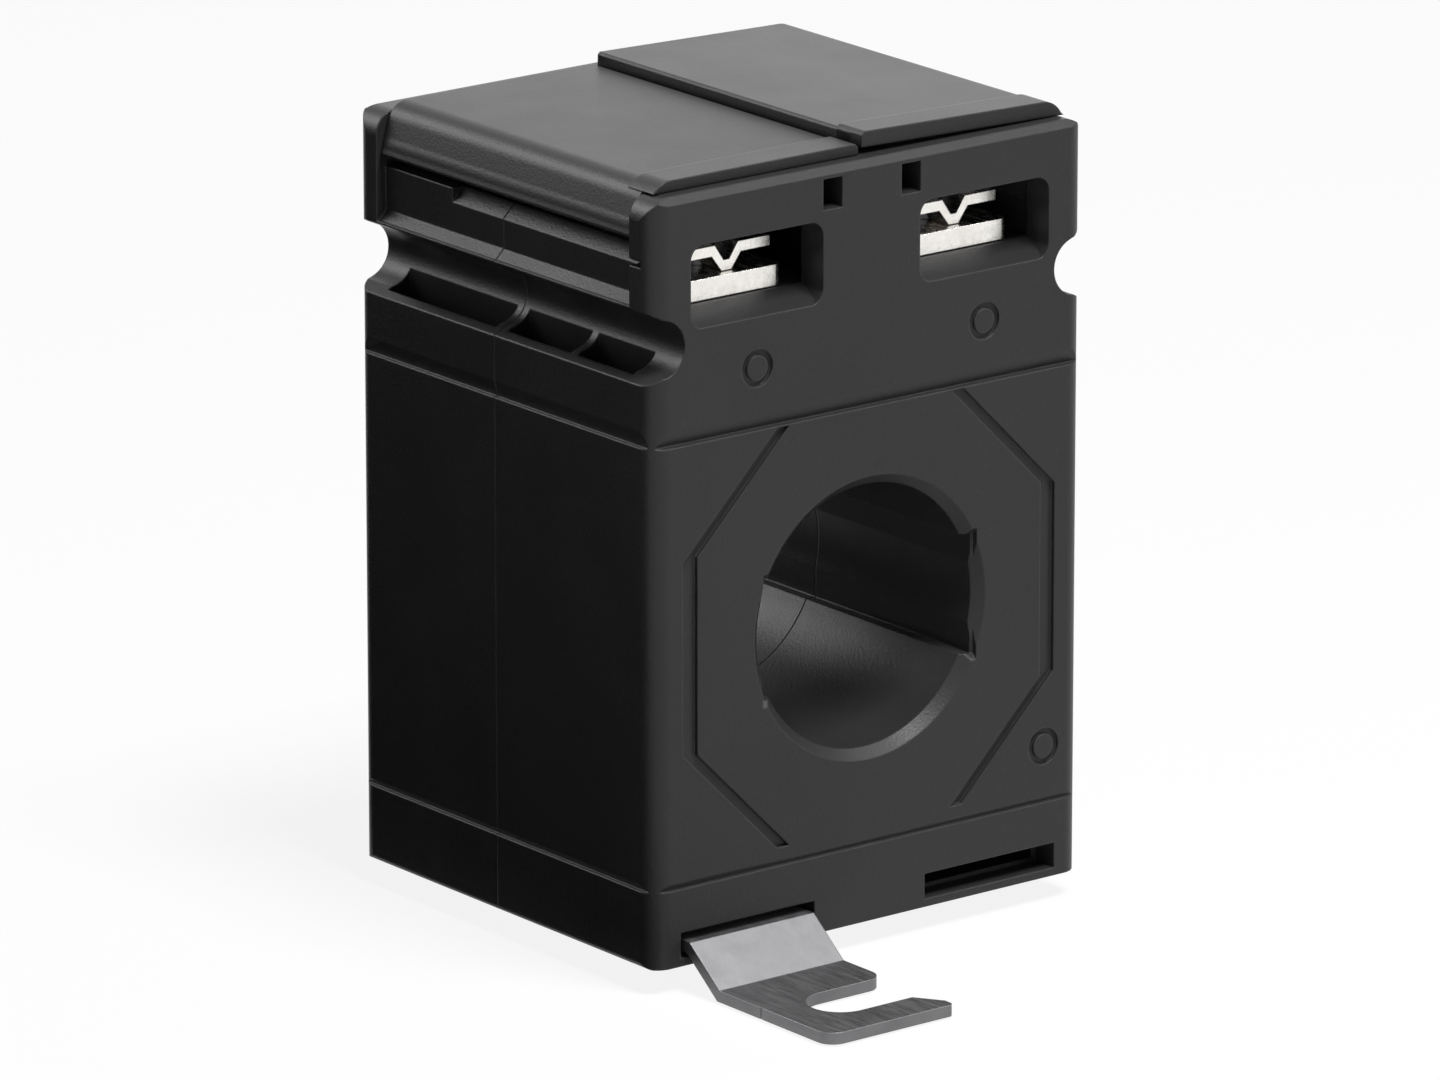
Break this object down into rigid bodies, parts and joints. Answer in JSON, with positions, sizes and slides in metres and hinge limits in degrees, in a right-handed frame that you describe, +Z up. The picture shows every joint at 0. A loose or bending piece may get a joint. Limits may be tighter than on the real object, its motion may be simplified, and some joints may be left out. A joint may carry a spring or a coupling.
{
  "type": "current transformer",
  "caption": "Window-type current transformer in a black split housing with a round and slotted conductor passage, hinged terminal covers, screw clamps and sheet-metal feet.",
  "frame": {"origin": "middle of the mounting plane, under the two feet", "axes": "+Y along the conductor passage from the front face to the rear, +X to the right along the front face, +Z up towards the terminals"},
  "size_m": [0.0456, 0.0784, 0.0689],
  "materials": {
    "shell": "fine-grained moulded black",
    "block": "moulded black",
    "nickel": "nickel plated",
    "screw": "black oxide",
    "zinc": "zinc plated",
    "core": "wound strip, dull",
    "cap": "natural moulded",
    "copper": "enamelled copper wire",
    "tape": "polyester tape",
    "lead": "tinned at the end",
    "sleeve": "soft sleeve"
  },
  "bodies": {
    "housing": {"front_shell": "shell", "rear_shell": "shell", "terminal_block": "block", "left_contact_bar": "nickel", "right_contact_bar": "nickel", "left_clamp_nut": "zinc", "right_clamp_nut": "zinc", "ring_core": "core", "front_core_cap": "cap", "rear_core_cap": "cap", "secondary_winding": "copper", "winding_tape": "tape", "left_lead_wire": "lead", "right_lead_wire": "lead", "left_lead_sleeve": "sleeve", "right_lead_sleeve": "sleeve", "front_foot": "zinc", "rear_foot": "zinc"},
    "left_cover": {"left_terminal_cover": "shell"},
    "right_cover": {"right_terminal_cover": "shell"},
    "left_clamp": {"left_clamp_plate": "nickel"},
    "left_screw": {"left_clamp_screw": "screw"},
    "right_clamp": {"right_clamp_plate": "nickel"},
    "right_screw": {"right_clamp_screw": "screw"}
  },
  "joints": [
    {"name": "left_cover_hinge", "type": "hinge", "parent": "housing", "child": "left_cover", "pos_m": [-0.02106, 0, 0.06442], "axis": [0, -1, 0], "range_deg": [0, 95]},
    {"name": "right_cover_hinge", "type": "hinge", "parent": "housing", "child": "right_cover", "pos_m": [0.02106, 0, 0.06442], "axis": [0, 1, 0], "range_deg": [-1.5, 93]},
    {"name": "left_clamp_lift", "type": "slide", "parent": "housing", "child": "left_clamp", "axis": [0, 0, 1], "range_m": [0, 0.0024]},
    {"name": "left_screw_turn", "type": "hinge", "parent": "left_clamp", "child": "left_screw", "pos_m": [-0.01191, -0.0116, 0.06242], "axis": [0, 0, 1], "range_deg": [0, 1234.3]},
    {"name": "right_clamp_lift", "type": "slide", "parent": "housing", "child": "right_clamp", "axis": [0, 0, 1], "range_m": [0, 0.0024]},
    {"name": "right_screw_turn", "type": "hinge", "parent": "right_clamp", "child": "right_screw", "pos_m": [0.01191, -0.0116, 0.06242], "axis": [0, 0, 1], "range_deg": [0, 1234.3]}
  ],
  "couplings": [
    {"joint": "left_screw_turn", "follows": "left_clamp_lift", "rad_per_m": 8976},
    {"joint": "right_screw_turn", "follows": "right_clamp_lift", "rad_per_m": 8976}
  ]
}
